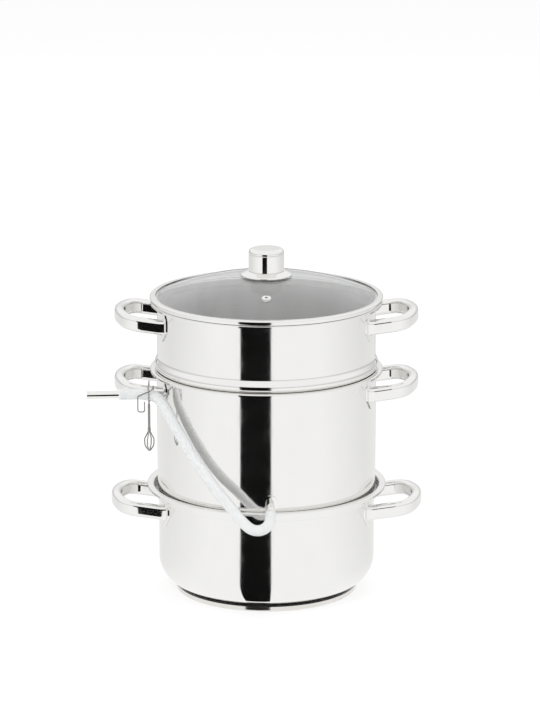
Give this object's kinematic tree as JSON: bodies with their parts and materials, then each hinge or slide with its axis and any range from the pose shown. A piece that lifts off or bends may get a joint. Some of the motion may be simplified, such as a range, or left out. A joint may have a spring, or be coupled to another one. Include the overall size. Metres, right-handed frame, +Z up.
{
  "type": "steam juicer",
  "caption": "Stacked steel steam juicer: water pot, juice kettle with a hose, pierced basket and glass lid.",
  "frame": {"origin": "centre of the pot's base, on the surface that it stands on", "axes": "+Z up; -Y towards the outlet spout; the handles stand out along -X and +X"},
  "size_m": [0.4015, 0.3199, 0.4201],
  "materials": {
    "polished_steel": "mirror-polished stainless steel",
    "clamp_wire": "bright spring wire",
    "disc_aluminium": "plain",
    "lid_glass": "clear",
    "silicone": "translucent",
    "knob_plastic": "moulded"
  },
  "bodies": {
    "pot": {"pot_shell": "polished_steel", "pot_base_cap": "polished_steel", "pot_base_core": "disc_aluminium", "pot_handle_left": "polished_steel", "pot_handle_right": "polished_steel", "pot_handle_left_plates": "polished_steel", "pot_handle_right_plates": "polished_steel"},
    "kettle": {"kettle_shell": "polished_steel", "steam_chimney": "polished_steel", "outlet_spout": "polished_steel", "spout_collar": "polished_steel", "kettle_handle_left": "polished_steel", "kettle_handle_right": "polished_steel", "kettle_handle_left_plates": "polished_steel", "kettle_handle_right_plates": "polished_steel", "juice_hose": "silicone", "hose_end_tube": "polished_steel", "hose_clamp": "clamp_wire"},
    "basket": {"basket_shell": "polished_steel", "basket_handle_left": "polished_steel", "basket_handle_right": "polished_steel", "basket_handle_left_plates": "polished_steel", "basket_handle_right_plates": "polished_steel"},
    "lid": {"lid_glass": "lid_glass", "lid_rim_band": "polished_steel", "vent_eyelet": "polished_steel", "knob_base": "polished_steel", "lid_knob": "polished_steel", "knob_insert": "knob_plastic", "knob_seal": "silicone", "knob_washer": "polished_steel", "knob_screw": "polished_steel"}
  },
  "joints": [
    {"name": "kettle_lift", "type": "slide", "parent": "pot", "child": "kettle", "axis": [0, 0, 1], "range_m": [0, 0.087]},
    {"name": "basket_lift", "type": "slide", "parent": "kettle", "child": "basket", "axis": [0, 0, 1], "range_m": [0, 0.1306]},
    {"name": "lid_lift", "type": "slide", "parent": "basket", "child": "lid", "axis": [0, 0, 1], "range_m": [0, 0.0687]}
  ]
}
